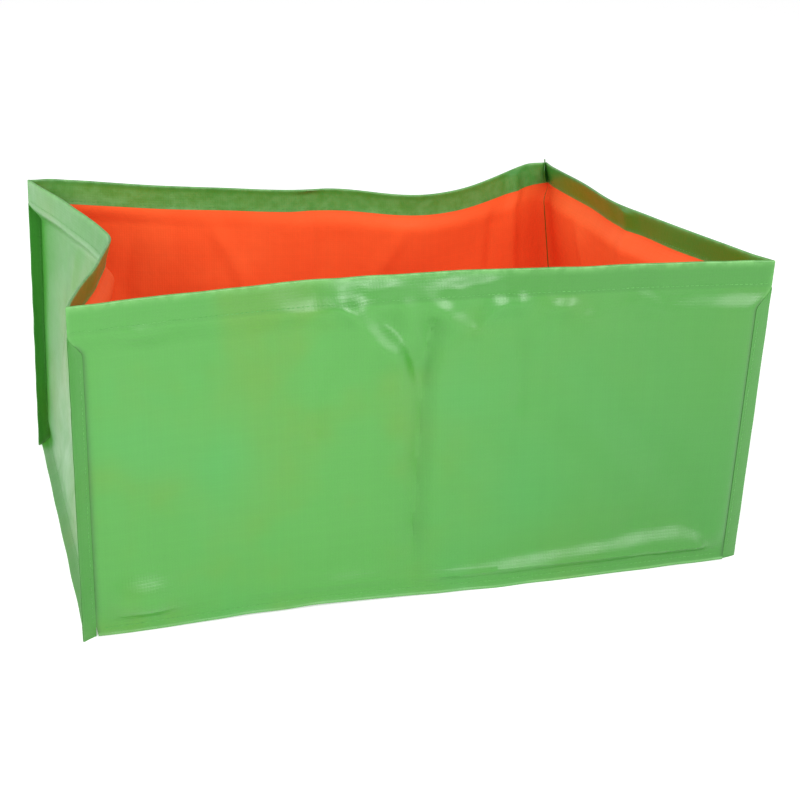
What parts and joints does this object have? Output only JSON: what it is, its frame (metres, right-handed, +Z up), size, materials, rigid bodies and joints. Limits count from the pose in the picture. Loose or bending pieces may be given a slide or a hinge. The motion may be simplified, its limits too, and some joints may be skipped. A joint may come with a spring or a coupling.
{
  "type": "fabric grow bag",
  "caption": "Open-topped rectangular grow bag sewn from glossy woven polyethylene, green outside and orange inside, with a turned-in hem and outward corner seams.",
  "frame": {"origin": "centre of the base, on the ground", "axes": "+X runs along the bag's length, +Y from the front wall to the back wall, +Z up"},
  "size_m": [0.6123, 0.4952, 0.301],
  "materials": {
    "green_laminate": "glossy woven laminate",
    "orange_film": "satin woven film",
    "thread": "matte twisted thread"
  },
  "bodies": {
    "bag": {"base_lining": "orange_film", "base_panel": "green_laminate", "front_base_seam": "green_laminate", "front_base_thread": "thread", "front_hem": "green_laminate", "front_hem_thread": "thread", "front_left_seam": "green_laminate", "front_left_seam_thread": "thread", "front_lining": "orange_film", "front_panel": "green_laminate", "front_right_seam": "green_laminate", "front_right_seam_thread": "thread", "left_end_base_seam": "green_laminate", "left_end_base_thread": "thread", "left_end_hem": "green_laminate", "left_end_hem_thread": "thread", "left_end_lining": "orange_film", "left_end_panel": "green_laminate", "right_end_base_seam": "green_laminate", "right_end_base_thread": "thread", "right_end_hem": "green_laminate", "right_end_hem_thread": "thread", "right_end_lining": "orange_film", "right_end_panel": "green_laminate"},
    "back_wall": {"back_base_seam": "green_laminate", "back_base_thread": "thread", "back_hem": "green_laminate", "back_hem_thread": "thread", "back_left_seam": "green_laminate", "back_left_seam_thread": "thread", "back_lining": "orange_film", "back_panel": "green_laminate", "back_right_seam": "green_laminate", "back_right_seam_thread": "thread"}
  },
  "joints": [
    {"name": "press_flat", "type": "slide", "parent": "bag", "child": "back_wall", "axis": [0, -1, 0], "range_m": [0, 0.42], "deforming": ["back_base_seam", "back_base_thread", "back_hem", "back_hem_thread", "back_left_seam", "back_left_seam_thread", "back_lining", "back_panel", "back_right_seam", "back_right_seam_thread", "base_lining", "base_panel", "left_end_base_seam", "left_end_base_thread", "left_end_hem", "left_end_hem_thread", "left_end_lining", "left_end_panel", "right_end_base_seam", "right_end_base_thread", "right_end_hem", "right_end_hem_thread", "right_end_lining", "right_end_panel"]}
  ]
}
